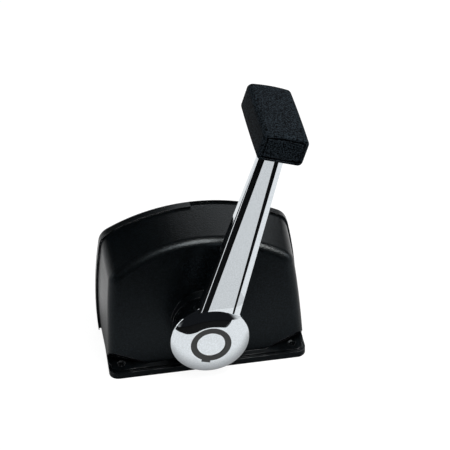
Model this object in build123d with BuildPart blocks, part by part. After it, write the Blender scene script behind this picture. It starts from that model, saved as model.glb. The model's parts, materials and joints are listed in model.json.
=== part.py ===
from build123d import *
from math import acos, cos, hypot, pi, radians, sin, sqrt, tan
import os

# Top-mount throttle and shift control for a boat.
# Millimetres. +X is the forward side of the lever's swing, +Y runs from the
# lever through the housing to its back, and +Z is up. The origin is the middle
# of the mounting face, under the base.

# ---------------------------------------------------------------- sizes
# Base tray
base_length = 184.0
base_depth = 84.0
base_corner = 9.0
tray_height = 6.4
tray_wall = 2.4
tray_floor = 2.4
cable_opening_x = 112.0
cable_opening_y = 60.0
cable_opening_shift = 5.0
mount_spacing_x = 160.0
mount_spacing_y = 60.0
mount_hole_r = 2.75
mount_boss_r = 6.0

# Housing, as outlines across Y at its back joint and at the ridge
wall = 3.0
ridge_y = -16.0
end_overhang = 2.0
back_apex = 131.0
back_crown_r = 170.0
back_corner_r = 15.0
ridge_step = 1.4
ridge_drop = 3.4
ridge_crown_r = 143.0
ridge_corner_r = 17.0
end_slope = 0.088
back_bow = 3.9
ridge_bow = 1.6
foot_y = -33.7
foot_lean = 7.9
ridge_fillet = 9.0
flange_top = 8.0
pad_inner_x = 55.0
pad_outer_y = -17.0
pad_height = 15.0
pad_lean = 12.0
pad_step = 2.0
flange_back = -29.0
mount_sink_r = 3.9
seal_r = 11.0
seal_lip = 1.2

# Rear cover
cover_depth = 8.0
cover_overhang = 1.5
cover_wall = 2.5
cover_edge_r = 4.0
cover_bottom = 0.8
lip_reach = 2.6
finger_recess = 4.6
recess_floor = 0.8
recess_window = [(-2.0, 100.0), (72.0, 100.0), (72.0, 140.0), (-2.0, 140.0)]
cover_screw_heights = (95.0, 40.0)
cover_boss_r = 4.5
cover_boss_length = 18.0
cover_boss_bite = 0.8
cover_screw_r = 1.75
cover_head_r = 3.2
cover_head_h = 2.0

# Main shaft and hub
axis_z = 46.0
lever_tilt = 16.5
ring_y = -64.0
hub_r = 36.1
hub_back_r = 30.5
rim_y = -56.0
rim_edge_r = 1.6
dome_middle = (28.5, -61.6)
boss_r = 31.5
boss_y = -33.4
hub_gap = 1.0
hub_shell = 4.0
hub_boss_r = 13.5
ring_r = 18.2
ring_depth = 3.0
ring_tab = 8.0
ring_tab_reach = 2.0
ring_tab_depth = 1.6
ring_proud = 0.3
button_r = 13.2
button_front = -63.7
button_disc = 3.0
button_skirt = 6.7
button_wall = 1.8
button_travel = 4.5
web_y = -49.0
web = 3.0

# Arm and grip
arm_front = -63.5
arm_root = 50.0
arm_top = 215.0
arm_root_half = 17.4
arm_top_half = 11.1
arm_root_back = -47.5
arm_top_back = -57.0
panel_root_half = 10.6
panel_top_half = 4.1
groove_root = 2.5
groove_top = 4.2
groove_depth = 1.3
band_drop = 0.7
edge_drop = 2.4
arm_back_chamfer = 2.0
arm_flare_r = 7.0
arm_flare_steps = 5
panel_shift = 0.8
left_rim = 0.9
panel_arc_r = 37.6
grip_front = -82.8
grip_length = 83.6
grip_width = 41.2
grip_thick = 26.7
grip_under = 209.3
grip_shift = 0.9
grip_tilt = 1.7
grip_edge_r = 5.5
grip_end_r = 3.5
grip_crown = 1.4
grip_seam = 3.2
core_width = 24.0
core_thick = 11.0
core_length = 66.0
tang_width = 13.0
tang_thick = 5.0
tang_reach = 4.0
core_screw_x = 3.6
core_screw_r = 2.0
core_screw_length = 18.0
core_head_r = 2.6
core_head_h = 2.4
grip_seam_depth = 0.7
grip_seam_width = 0.9

# Shaft diameters and stations along Y
thread_r = 6.0
spline_r = 8.0
spline_depth = 0.6
spline_teeth = 22
front_journal_r = 8.0
gear_seat_r = 7.0
disc_flat = 5.5
rear_journal_r = 6.0
crank_seat_r = 5.0
crank_flat = 4.0
crank_thread_r = 3.0
gear_shoulder = -11.9
disc_seat = 6.0
journal_end = 17.2
crank_front = 19.0
crank_thick = 3.5
rod_r = 2.5
rod_bore_end = 5.6
clutch_pin_r = 1.5
clutch_pin_length = 21.0
washer = 1.2
nut_height = 4.0
hub_nut_width = 16.0
crank_nut_width = 9.0

# Frame plates between the shell and the rear cover
plate = 3.5
front_plate_y = -16.0
rear_plate_y = 13.0
plate_foot_half = 74.0
plate_leg = 16.0
plate_leg_top = 30.0
plate_bottom = 14.0
plate_top = 107.5
plate_top_half = 33.0
foot_length = 11.5
plate_corner_r = 6.0
window_r = 9.0
window_x = 44.0
foot_x = 66.0
foot_screw_r = 2.0
foot_head_r = 3.6
foot_head_h = 2.4
front_bush_r = 11.0
rear_bush_r = 9.0
bush_flange = 2.5
bush_lip = 1.6
rear_bush_lip = 0.8
post_screw_r = 2.0
post_r = 5.0
post_places = [(28.0, 97.5), (-62.0, 26.0), (62.0, 26.0)]
post_head_r = 3.2
post_head_h = 1.4

# Gear pair
gear_module = 2.0
gear_teeth = 16
sector_teeth = 32
sector_count = 8
gear_y = -9.0
gear_width = 8.0
gear_backlash = 0.24
flank_points = 6
sector_addendum = 0.9
sector_window_r = 6.0
sector_window_z = 19.0
gear_collar_r = 12.0
sleeve_r = 13.6
sleeve_bore_r = 11.2
pressure_angle = radians(20)

# Shift arm, throttle crank and their cable swivels
shift_arm_length = 48.0
shift_arm_droop = 15.0
shift_pin_r = 5.0
shift_boss_r = 9.0
pin_head_r = 7.0
pin_head_h = 1.2
crank_length = 34.0
crank_boss_r = 9.0
swivel_pin_r = 3.0
swivel_r = 5.0
swivel_length = 6.4
throttle_swivel_length = 8.0
cable_rod_r = 1.6
clip_thick = 0.8
conduit_r = 4.0
anchor_width = 16.0
anchor_height = 10.0
anchor_ear = 9.0
anchor_ear_thick = 3.0
anchor_bottom = 14.0
anchor_screw_x = 4.2
anchor_screw_r = 1.6
anchor_screw_z = 28.6
anchor_head_r = 2.8
anchor_head_h = 2.0
anchor_wall = 1.6
eye_r = 6.5

# Detent and neutral switch
disc_r = 26.0
disc_y = 7.5
disc_thick = 4.5
notch_depth = 3.0
notch_step = 30.0
lobe_rise = 1.5
lobe_root = 18.0
lobe_width = 6.0
lobe_corner_r = 1.2
notch_half_angle = 30.0
notch_clear = 0.9
switch_length = 20.0
switch_depth = 10.0
switch_thick = 6.2
switch_angle = 45.0
plunger_r = 1.4
plunger_travel = 1.0
plunger_reach = 2.5
plunger_seat_depth = 3.0
switch_screw_r = 1.15
switch_head_r = 2.2
switch_head_h = 1.3
switch_screw_x = 7.0
terminal = (6.0, 3.2, 0.6)
spring_thick = 0.8
spring_width = 4.1
spring_path = [(-38.4, 77.5), (-38.4, 59.0), (-33.0, 52.6), (-21.5, 46.0), (-33.0, 39.4), (-36.5, 32.0)]
spring_bend_r = 3.0
block_width = 9.0
block_height = 17.0
block_depth = 5.0
leaf_screw_z = (65.0, 73.0)
block_screw_x = (-45.6, -41.2)
block_screw_z = 69.0
leaf_screw_r = 1.2
leaf_head_r = 2.0
block_screw_r = 1.2
button_spring_r = 10.2
button_spring_wire = 1.1
button_spring_turns = 3.5

# Clearances
running = 0.05
clear = 0.3
slip = 0.4

# ---------------------------------------------------------------- places
tray_half_x = base_length / 2
tray_half_y = base_depth / 2
joint_y = base_depth / 2 - cover_depth
ridge_apex = back_apex - ridge_drop
back_half_width = base_length / 2 + end_overhang
ridge_half_width = back_half_width - ridge_step
shell_bottom = tray_height + slip
nut_face = web_y - washer
thread_end = nut_face - nut_height - clear
web_back = web_y + web
disc_end = disc_y + disc_thick
gear_back = gear_y + gear_width
crank_back = crank_front + crank_thick
pin_y = gear_back - clutch_pin_r - 2 * running
hub_back_y = boss_y - hub_gap
tang_top = grip_under + grip_thick / 2 + tang_reach
core_screw_z = grip_under + grip_thick / 2
switch_turn = radians(switch_angle)
switch_y = rear_plate_y - switch_thick
switch_r = disc_r + lobe_rise + clear + plunger_reach + switch_depth / 2
switch_face = disc_r + lobe_rise + clear + plunger_reach
leaf_y = disc_y + disc_thick / 2
leaf_x = spring_path[0][0]
leaf_screw_places = [(leaf_x, z) for z in leaf_screw_z]
block_screw_places = [(x, block_screw_z) for x in block_screw_x]
flange_inset = tray_wall + slip
pad_wall = wall * hypot(1, pad_lean / pad_height)
shaft_axis = Axis((0, 0, axis_z), (0, 1, 0))
tilt = radians(lever_tilt)
lever_frame = Plane(origin=(0, 0, axis_z), x_dir=(cos(tilt), 0, -sin(tilt)), z_dir=(sin(tilt), 0, cos(tilt)))
gear_distance = gear_module * (gear_teeth + sector_teeth) / 2
shift_z = axis_z + gear_distance
droop = radians(180 + shift_arm_droop)
shift_end = (shift_arm_length * cos(droop), shift_z + shift_arm_length * sin(droop))
crank_end = (0.0, axis_z + crank_length)
flare_top = sqrt((hub_r + arm_flare_r) ** 2 - (arm_root_half + arm_flare_r) ** 2)
flare_foot = flare_top * hub_r / (hub_r + arm_flare_r)
mount_places = [(x * mount_spacing_x / 2, y * mount_spacing_y / 2) for x in (-1, 1) for y in (-1, 1)]
front_plate_back = front_plate_y + plate
rear_plate_back = rear_plate_y + plate
foot_places = [
    (x * foot_x, y)
    for x in (-1, 1)
    for y in (front_plate_back + foot_length / 2, rear_plate_back + foot_length / 2)
]


def across(y):
    """Plane across Y, its x along +X and its y along +Z."""
    return Plane(origin=(0, y, 0), x_dir=(1, 0, 0), z_dir=(0, -1, 0))


def switch_plane(y):
    """Plane across Y at the shaft, its x running out towards the neutral switch."""
    return Plane(
        origin=(0, y, axis_z), x_dir=(cos(switch_turn), 0, sin(switch_turn)), z_dir=(0, -1, 0)
    )


def towards_switch(reach, along=0.0):
    """World x and z of a place at a reach from the shaft towards the switch."""
    point = switch_plane(leaf_y).from_local_coords((reach, along, 0))
    return point.X, point.Z


def rod(radius, y0, y1, x=0.0, z=axis_z):
    """A round bar along Y."""
    with BuildPart() as bar:
        with BuildSketch(across(y0)):
            with Locations((x, z)):
                Circle(radius)
        extrude(amount=-(y1 - y0))
    return bar.part


def pan_screw(shank_r, length, head_r, head_h):
    """A screw with its head above the origin and its shank down -Z."""
    with BuildPart() as screw:
        Cylinder(head_r, head_h, align=(Align.CENTER, Align.CENTER, Align.MIN))
        fillet(screw.edges().group_by(Axis.Z)[-1], min(head_h, head_r) * 0.45)
        Cylinder(shank_r, length, align=(Align.CENTER, Align.CENTER, Align.MAX))
        with Locations((0, 0, head_h)):
            Box(head_r * 1.2, head_r * 0.28, head_h * 0.8, mode=Mode.SUBTRACT)
            Box(head_r * 0.28, head_r * 1.2, head_h * 0.8, mode=Mode.SUBTRACT)
    return screw.part


def facing_front(x, y, z):
    """A place whose local +Z looks along -Y."""
    return Plane(origin=(x, y, z), x_dir=(1, 0, 0), z_dir=(0, -1, 0)).location


def facing_back(x, y, z):
    """A place whose local +Z looks along +Y."""
    return Plane(origin=(x, y, z), x_dir=(-1, 0, 0), z_dir=(0, 1, 0)).location


switch_screw_places = [towards_switch(switch_r, t) for t in (-switch_screw_x, switch_screw_x)]

# ---------------------------------------------------------------- base tray
with BuildPart() as base_tray:
    with BuildSketch():
        RectangleRounded(base_length, base_depth, base_corner)
    extrude(amount=tray_height)
    with BuildSketch(Plane.XY.offset(tray_floor)):
        RectangleRounded(base_length - 2 * tray_wall, base_depth - 2 * tray_wall, base_corner - tray_wall)
    extrude(amount=tray_height, mode=Mode.SUBTRACT)
    with BuildSketch():
        with Locations((0, cable_opening_shift)):
            RectangleRounded(cable_opening_x, cable_opening_y, base_corner)
    extrude(amount=tray_floor, mode=Mode.SUBTRACT)
    with Locations(*[(x, y, 0) for x, y in mount_places if y > 0]):
        Cylinder(mount_boss_r, tray_height, align=(Align.CENTER, Align.CENTER, Align.MIN))
    with Locations(*[(x, y, 0) for x, y in mount_places]):
        Cylinder(mount_hole_r, 4 * tray_height, mode=Mode.SUBTRACT)
    with Locations(*[(x, y, 0) for x, y in foot_places]):
        Cylinder(foot_screw_r, 4 * tray_height, mode=Mode.SUBTRACT)
base_tray.part.label = "base_tray"


# ---------------------------------------------------------------- front shell
def cover_boss_x(z):
    """How far out a cover screw's boss stands at a height, let into the bowed end wall."""
    shoulder = back_apex - back_corner_r
    end = back_half_width - end_slope * z + back_bow * (1 - (2 * z / shoulder - 1) ** 2)
    return end - wall - cover_boss_r + cover_boss_bite


cover_screw_places = [(side * cover_boss_x(z), z) for z in cover_screw_heights for side in (-1, 1)]


def housing_outline(y, inset, bottom):
    """The housing's outline across Y, its sizes running straight from ridge to joint."""
    t = (y - ridge_y) / (joint_y - ridge_y)
    half = ridge_half_width + t * (back_half_width - ridge_half_width) - inset * hypot(1, end_slope)
    apex = ridge_apex + t * (back_apex - ridge_apex) - inset
    crown = ridge_crown_r + t * (back_crown_r - ridge_crown_r) - inset
    corner = ridge_corner_r + t * (back_corner_r - ridge_corner_r) - inset
    bow = ridge_bow + t * (back_bow - ridge_bow)
    shoulder = apex - corner
    top = apex + corner
    middle = (bottom + shoulder) / 2
    with BuildSketch(across(y)) as outline:
        with BuildLine():
            Line((-(half - end_slope * bottom), bottom), (half - end_slope * bottom, bottom))
            for side in (-1, 1):
                ThreePointArc(
                    (side * (half - end_slope * bottom), bottom),
                    (side * (half - end_slope * middle + bow), middle),
                    (side * (half - end_slope * shoulder), shoulder),
                )
                Line(
                    (side * (half - end_slope * shoulder), shoulder),
                    (side * (half - end_slope * top), top),
                )
            Line((-(half - end_slope * top), top), (half - end_slope * top, top))
        make_face()
        with Locations((0, apex - crown)):
            Circle(crown, mode=Mode.INTERSECT)
        fillet(outline.vertices().sort_by(Axis.Y)[-2:], corner)
    return outline.sketch


def housing_body(inset, bottom, back_y):
    """The housing as a closed body, cut back from its outer surface by inset."""
    lean = radians(foot_lean)
    face = Plane(
        origin=(0, foot_y + inset / cos(lean), flange_top),
        x_dir=(1, 0, 0),
        z_dir=(0, -cos(lean), sin(lean)),
    )
    with BuildPart() as body:
        add(housing_outline(back_y, inset, bottom))
        add(housing_outline(-tray_half_y - wall, inset, bottom))
        loft(ruled=True)
        split(bisect_by=face, keep=Keep.BOTTOM)
        front = body.faces().sort_by(Axis.Y)[0]
        fillet([edge for edge in front.edges() if edge.center().Z > bottom + wall], ridge_fillet - inset)
    return body.part


def pad_outline(side, height, lean):
    """The plan of a corner pad, its slanted back edge moved forward by lean."""
    run = Vector(tray_half_x - pad_step - pad_inner_x, pad_outer_y - foot_y).normalized()
    start = Vector(pad_inner_x, foot_y) + Vector(run.Y, -run.X) * lean
    end = start + run * tray_half_x
    with BuildSketch(Plane.XY.offset(height)) as outline:
        with BuildLine():
            Polyline(
                (side * start.X, start.Y),
                (side * end.X, end.Y),
                (side * end.X, start.Y - tray_half_x),
                (side * start.X, start.Y - tray_half_x),
                close=True,
            )
        make_face()
    return outline.sketch


def pad_room(side, behind):
    """The room for a screw head over a corner pad, its back wall moved back by behind."""
    with BuildPart() as room:
        for height in (flange_top, flange_top + pad_height + behind):
            lean = (height - flange_top) * pad_lean / pad_height
            add(pad_outline(side, height, lean - behind))
        loft(ruled=True)
    return room.part


with BuildPart() as shell_flange:
    with BuildSketch(Plane.XY.offset(tray_floor)):
        with Locations((0, flange_back - base_depth / 2)):
            Rectangle(base_length, base_depth)
        for side in (-1, 1):
            add(pad_outline(side, tray_floor, -pad_wall))
        RectangleRounded(
            base_length - 2 * flange_inset, base_depth - 2 * flange_inset, base_corner - flange_inset,
            mode=Mode.INTERSECT,
        )
    extrude(amount=flange_top - tray_floor)

with BuildPart() as shell_room:
    add(housing_body(wall, shell_bottom - wall, joint_y))
    for side in (-1, 1):
        add(pad_room(side, pad_wall), mode=Mode.SUBTRACT)

with BuildPart() as front_shell:
    add(housing_body(0, shell_bottom, joint_y))
    for side in (-1, 1):
        add(pad_room(side, 0), mode=Mode.SUBTRACT)
    add(rod(boss_r, boss_y, boss_y + 4 * wall))
    add(shell_room.part, mode=Mode.SUBTRACT)
    add(rod(boss_r - wall, boss_y + wall, boss_y + 4 * wall), mode=Mode.SUBTRACT)
    add(shell_flange.part)
    for x, z in cover_screw_places:
        add(rod(cover_boss_r, joint_y - cover_boss_length, joint_y, x, z))
        add(rod(cover_screw_r, joint_y - cover_boss_length / 2, joint_y, x, z), mode=Mode.SUBTRACT)
    add(rod(seal_r, boss_y - wall, boss_y + 2 * wall), mode=Mode.SUBTRACT)
    with Locations(*[(x, y, flange_top) for x, y in mount_places if y < 0]):
        CounterSinkHole(mount_hole_r, mount_sink_r, depth=flange_top)
front_shell.part.label = "front_shell"

with BuildPart() as shaft_seal:
    add(rod(seal_r, boss_y + clear, boss_y + wall))
    add(rod(seal_r + wall / 2, boss_y + wall, boss_y + wall + seal_lip))
    add(rod(spline_r + clear, boss_y, boss_y + 2 * wall), mode=Mode.SUBTRACT)
shaft_seal.part.label = "shaft_seal"

# ---------------------------------------------------------------- rear cover
cover_back = joint_y + cover_depth


def cover_prism(inset, y0, y1, bottom):
    """A prism on the housing's back outline, between two stations along Y."""
    with BuildPart() as prism:
        add(housing_outline(joint_y, inset, bottom).moved(Location((0, y0 - joint_y, 0))))
        extrude(amount=y1 - y0, dir=(0, 1, 0))
    return prism.part


with BuildPart() as recess:
    with BuildSketch(across(joint_y - 2 * lip_reach)):
        with BuildLine():
            Polyline(*recess_window, close=True)
        make_face()
    extrude(amount=-(2 * lip_reach + finger_recess))
    add(cover_prism(recess_floor, joint_y - 3 * lip_reach, cover_back, -wall), mode=Mode.SUBTRACT)


with BuildPart() as rear_cover:
    add(cover_prism(-cover_overhang, joint_y - lip_reach, cover_back, cover_bottom))
    fillet(
        [e for e in rear_cover.faces().sort_by(Axis.Y)[-1].edges() if e.center().Z > tray_height],
        cover_edge_r,
    )
    add(cover_prism(-clear, joint_y - 2 * lip_reach, joint_y, -wall), mode=Mode.SUBTRACT)
    add(cover_prism(wall / 2, joint_y, cover_back - cover_wall, -wall), mode=Mode.SUBTRACT)
    Box(base_length + clear, 2 * cover_back, 2 * shell_bottom, mode=Mode.SUBTRACT)
    add(recess.part, mode=Mode.SUBTRACT)
    for x, z in cover_screw_places:
        add(rod(cover_boss_r, joint_y, cover_back - cover_wall, x, z))
        add(rod(cover_screw_r, joint_y, cover_back, x, z), mode=Mode.SUBTRACT)
        add(rod(cover_head_r + slip, cover_back - cover_head_h, cover_back, x, z), mode=Mode.SUBTRACT)
rear_cover.part.label = "rear_cover"

with BuildPart() as cover_screws:
    cover_screw = pan_screw(cover_screw_r, cover_depth + cover_boss_length / 2 - cover_head_h - clear,
                            cover_head_r, cover_head_h)
    with Locations(*[facing_back(x, cover_back - cover_head_h, z) for x, z in cover_screw_places]):
        add(cover_screw)
cover_screws.part.label = "cover_screws"


# ---------------------------------------------------------------- frame plates
def frame_plate(y, bush_r, small_holes, label):
    """A pressed plate across the housing on two feet bent back."""
    with BuildPart() as made:
        with BuildSketch(across(y)) as outline:
            with BuildLine():
                Polyline(
                    (-plate_foot_half, tray_floor),
                    (-plate_foot_half + plate_leg, tray_floor),
                    (-plate_foot_half + plate_leg, plate_bottom),
                    (plate_foot_half - plate_leg, plate_bottom),
                    (plate_foot_half - plate_leg, tray_floor),
                    (plate_foot_half, tray_floor),
                    (plate_foot_half, plate_leg_top),
                    (plate_top_half, plate_top),
                    (-plate_top_half, plate_top),
                    (-plate_foot_half, plate_leg_top),
                    close=True,
                )
            make_face()
            fillet([v for v in outline.vertices() if v.Y > 2 * plate_bottom], plate_corner_r)
            with Locations((0, axis_z)):
                Circle(bush_r, mode=Mode.SUBTRACT)
            with Locations((0, shift_z)):
                Circle(shift_pin_r, mode=Mode.SUBTRACT)
            with Locations(*post_places):
                Circle(post_screw_r, mode=Mode.SUBTRACT)
            with Locations((-window_x, axis_z), (window_x, axis_z)):
                Circle(window_r, mode=Mode.SUBTRACT)
            for x, z, hole_r in small_holes:
                with Locations((x, z)):
                    Circle(hole_r, mode=Mode.SUBTRACT)
        extrude(amount=-plate)
        with Locations((-foot_x, y + plate, tray_floor), (foot_x, y + plate, tray_floor)):
            Box(plate_leg, foot_length, plate, align=(Align.CENTER, Align.MIN, Align.MIN))
        foot_middle = y + plate + foot_length / 2
        with Locations((-foot_x, foot_middle, tray_floor), (foot_x, foot_middle, tray_floor)):
            Cylinder(foot_screw_r, 4 * plate, mode=Mode.SUBTRACT)
    made.part.label = label
    return made


front_holes = [
    (shift_end[0] + dx, anchor_screw_z, anchor_screw_r) for dx in (-anchor_screw_x, anchor_screw_x)
]
rear_holes = [(dx, anchor_screw_z, anchor_screw_r) for dx in (-anchor_screw_x, anchor_screw_x)]
rear_holes += [(x, z, switch_screw_r) for x, z in switch_screw_places]
rear_holes += [(x, z, block_screw_r) for x, z in block_screw_places]
front_plate = frame_plate(front_plate_y, front_bush_r, front_holes, "front_plate")
rear_plate = frame_plate(rear_plate_y, rear_bush_r, rear_holes, "rear_plate")
with BuildPart() as foot_screws:
    with Locations(*[(x, y, tray_floor + plate) for x, y in foot_places]):
        add(pan_screw(foot_screw_r, plate + tray_floor - clear, foot_head_r, foot_head_h))
foot_screws.part.label = "foot_screws"

with BuildPart() as spacer_posts:
    for x, z in post_places:
        add(rod(post_r, front_plate_back, rear_plate_y, x, z))
        add(rod(post_screw_r, front_plate_back, rear_plate_y, x, z), mode=Mode.SUBTRACT)
spacer_posts.part.label = "spacer_posts"

with BuildPart() as post_screws:
    post_screw = pan_screw(post_screw_r, 2.5 * plate, post_head_r, post_head_h)
    with Locations(
        *[facing_front(x, front_plate_y, z) for x, z in post_places],
        *[facing_back(x, rear_plate_back, z) for x, z in post_places],
    ):
        add(post_screw)
post_screws.part.label = "post_screws"

with BuildPart() as front_bush:
    add(rod(front_bush_r, front_plate_y, front_plate_back + clear))
    add(rod(front_bush_r + bush_flange, front_plate_y - bush_lip, front_plate_y))
    add(rod(front_journal_r + running, front_plate_y - wall, front_plate_back + wall), mode=Mode.SUBTRACT)
front_bush.part.label = "front_bush"

with BuildPart() as rear_bush:
    add(rod(rear_bush_r, rear_plate_y, rear_plate_back + clear))
    add(rod(rear_bush_r + bush_flange, rear_plate_y - rear_bush_lip, rear_plate_y))
    add(rod(rear_journal_r + running, rear_plate_y - wall, rear_plate_back + wall), mode=Mode.SUBTRACT)
rear_bush.part.label = "rear_bush"


# ---------------------------------------------------------------- main shaft
def two_flats(radius, flat, y0, y1):
    """A round bar along Y with a flat on each side."""
    with BuildPart() as bar:
        with BuildSketch(across(y0)):
            with Locations((0, axis_z)):
                Circle(radius)
                Rectangle(2 * flat, 2 * radius, mode=Mode.INTERSECT)
        extrude(amount=-(y1 - y0))
    return bar.part


def serrated(grow, y0, y1):
    """The serrated bar whose teeth set the lever's lean, one tooth at a time."""
    points = []
    for i in range(2 * spline_teeth):
        radius = spline_r + grow - (spline_depth if i % 2 else 0)
        angle = pi * i / spline_teeth
        points.append((radius * cos(angle), axis_z + radius * sin(angle)))
    with BuildPart() as bar:
        with BuildSketch(across(y0)):
            with BuildLine():
                Polyline(*points, close=True)
            make_face()
        extrude(amount=-(y1 - y0))
    return bar.part


def hexagon_nut(width, bore_r, y0, y1):
    """A nut along Y, from y0 to y1."""
    with BuildPart() as nut:
        with BuildSketch(across(y0)):
            with Locations((0, axis_z)):
                RegularPolygon(width / 2, 6, major_radius=False)
                Circle(bore_r, mode=Mode.SUBTRACT)
        extrude(amount=-(y1 - y0))
    return nut.part


with BuildPart() as main_shaft:
    add(rod(thread_r, thread_end, web_back))
    add(serrated(0, web_back, hub_back_y))
    add(rod(front_journal_r, hub_back_y, gear_shoulder))
    add(rod(gear_seat_r, gear_shoulder, disc_seat))
    add(two_flats(gear_seat_r, disc_flat, disc_seat, disc_end))
    add(rod(rear_journal_r, disc_end, journal_end))
    add(two_flats(crank_seat_r, crank_flat, journal_end, crank_back))
    add(rod(crank_thread_r, crank_back, crank_back + washer + nut_height))
    add(rod(rod_r + running, thread_end, rod_bore_end), mode=Mode.SUBTRACT)
    with Locations((0, pin_y - clutch_pin_r - running, axis_z)):
        Box(
            3 * gear_seat_r,
            button_travel + 2 * clutch_pin_r + 3 * running,
            2 * clutch_pin_r + 2 * running,
            align=(Align.CENTER, Align.MIN, Align.CENTER),
            mode=Mode.SUBTRACT,
        )
main_shaft.part.label = "main_shaft"

with BuildPart() as hub_washer:
    add(rod(hub_nut_width / 2 + washer, nut_face, web_y))
    add(rod(thread_r + running, nut_face, web_y), mode=Mode.SUBTRACT)
hub_washer.part.label = "hub_washer"

with BuildPart() as hub_nut:
    add(hexagon_nut(hub_nut_width, thread_r, nut_face - nut_height, nut_face))
hub_nut.part.label = "hub_nut"

with BuildPart() as crank_washer:
    add(rod(crank_nut_width / 2 + washer, crank_back, crank_back + washer))
    add(rod(crank_thread_r + running, crank_back, crank_back + washer), mode=Mode.SUBTRACT)
crank_washer.part.label = "crank_washer"

with BuildPart() as crank_nut:
    add(hexagon_nut(crank_nut_width, crank_thread_r, crank_back + washer, crank_back + washer + nut_height))
crank_nut.part.label = "crank_nut"


# ---------------------------------------------------------------- lever arm and hub
def by_station(z, root, top):
    """A size of the arm at a station along it, running straight from root to top."""
    return root + (z - arm_root) / (arm_top - arm_root) * (top - root)


def arm_half(z):
    """Half the arm's width, flared out in an arc where it runs into the hub."""
    reach = min(max(flare_top - z, 0.0), flare_top - flare_foot)
    return by_station(z, arm_root_half, arm_top_half) + arm_flare_r - sqrt(arm_flare_r**2 - reach**2)


def arm_outline(z):
    """The arm's section: raised panel between two recesses, a wide band on the right."""
    half = arm_half(z)
    panel = by_station(z, panel_root_half, panel_top_half)
    groove = panel + by_station(z, groove_root, groove_top)
    back = by_station(z, arm_root_back, arm_top_back)
    floor = arm_front + groove_depth
    with BuildSketch(lever_frame.offset(z)) as outline:
        with BuildLine():
            Polyline(
                (half - arm_back_chamfer, back),
                (half, back - arm_back_chamfer),
                (half, arm_front + edge_drop),
                (groove, arm_front + band_drop),
                (groove, floor),
                (panel, floor),
                (panel, arm_front),
                (-panel - panel_shift, arm_front),
                (-panel - panel_shift, floor),
                (-half + left_rim, floor),
                (-half + left_rim, arm_front + band_drop),
                (-half, arm_front + edge_drop),
                (-half, back - arm_back_chamfer),
                (-half + arm_back_chamfer, back),
                close=True,
            )
        make_face()
    return outline.sketch


def lever_box(x, y0, y1, z0, z1, centre=0.0):
    """A block in the lever's own frame, in a private part."""
    with BuildPart() as block:
        with BuildSketch(lever_frame.offset(z0)):
            with Locations((centre, (y0 + y1) / 2)):
                Rectangle(x, y1 - y0)
        extrude(amount=z1 - z0)
    return block.part


with BuildPart() as arm_blank:
    add(arm_outline(hub_boss_r))
    for i in range(arm_flare_steps + 1):
        add(arm_outline(flare_foot + (flare_top - flare_foot) * i / arm_flare_steps))
    add(arm_outline(arm_top))
    loft(ruled=True)
    add(rod(panel_arc_r, arm_front - wall, rim_y), mode=Mode.SUBTRACT)
    add(rod(hub_r - hub_shell, arm_front, 0), mode=Mode.SUBTRACT)

with BuildPart() as hub_blank:
    with BuildSketch(Plane.XY.offset(axis_z)):
        with BuildLine():
            Line((0, ring_y), (ring_r, ring_y))
            ThreePointArc((ring_r, ring_y), dome_middle, (hub_r - rim_edge_r / 2, rim_y - rim_edge_r))
            Line((hub_r - rim_edge_r / 2, rim_y - rim_edge_r), (hub_r, rim_y))
            Polyline((hub_r, rim_y), (hub_back_r, hub_back_y), (0, hub_back_y), (0, ring_y))
        make_face()
    revolve(axis=shaft_axis)

with BuildPart() as hub_hollow:
    add(rod(hub_back_r - hub_shell, web_back, hub_back_y))
    add(rod(hub_boss_r, web_back, hub_back_y), mode=Mode.SUBTRACT)

tang_y = (arm_front + arm_top_back) / 2
with BuildPart() as lever_arm:
    add(hub_blank.part)
    add(arm_blank.part)
    add(lever_box(tang_width, tang_y - tang_thick / 2, tang_y + tang_thick / 2, arm_top, tang_top))
    for x in (-core_screw_x, core_screw_x):
        place = lever_frame.from_local_coords((x, 0, core_screw_z))
        add(rod(core_screw_r, arm_front, arm_top_back, place.X, place.Z), mode=Mode.SUBTRACT)
    add(rod(ring_r + running, ring_y - wall, ring_y + ring_depth), mode=Mode.SUBTRACT)
    add(rod(button_r + running, ring_y, web_y), mode=Mode.SUBTRACT)
    add(lever_box(ring_tab + 2 * running, ring_y - wall, ring_y + ring_tab_depth,
                  -(ring_r + ring_tab_reach), 0), mode=Mode.SUBTRACT)
    add(rod(thread_r + running, web_y, web_back), mode=Mode.SUBTRACT)
    add(serrated(running, web_back, hub_back_y), mode=Mode.SUBTRACT)
    add(hub_hollow.part, mode=Mode.SUBTRACT)
lever_arm.part.label = "lever_arm"

with BuildPart() as ring_bezel:
    add(rod(ring_r, ring_y - ring_proud, ring_y + ring_depth))
    add(lever_box(ring_tab, ring_y - ring_proud, ring_y + ring_tab_depth,
                  -(ring_r + ring_tab_reach - running), -button_r))
    add(rod(button_r + 2 * running, ring_y - wall, ring_y + ring_depth), mode=Mode.SUBTRACT)
ring_bezel.part.label = "ring_bezel"

# ---------------------------------------------------------------- grip
grip_angle = radians(lever_tilt + grip_tilt)
grip_origin = lever_frame.from_local_coords((grip_shift, 0, grip_under + grip_thick / 2))


def grip_plane(y):
    """Plane across the grip: x along its width, y up through its thickness."""
    return Plane(
        origin=(grip_origin.X, y, grip_origin.Z),
        x_dir=(cos(grip_angle), 0, -sin(grip_angle)),
        z_dir=(0, -1, 0),
    )


def core_block(grow):
    """The stiff core inside the grip, or the room for it."""
    with BuildPart() as block:
        with BuildSketch(grip_plane(grip_front + (grip_length - core_length) / 2)):
            Rectangle(core_width + 2 * grow, core_thick + 2 * grow)
        extrude(amount=-core_length)
    return block.part


core_front = grip_front + (grip_length - core_length) / 2
arm_slot = lever_box(
    2 * (arm_top_half + slip), arm_front - slip, arm_top_back + slip, grip_under - wall, arm_top
)
tang_slot = lever_box(
    tang_width + 2 * running, tang_y - tang_thick / 2 - running, tang_y + tang_thick / 2 + running,
    arm_top, tang_top + running,
)

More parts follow.
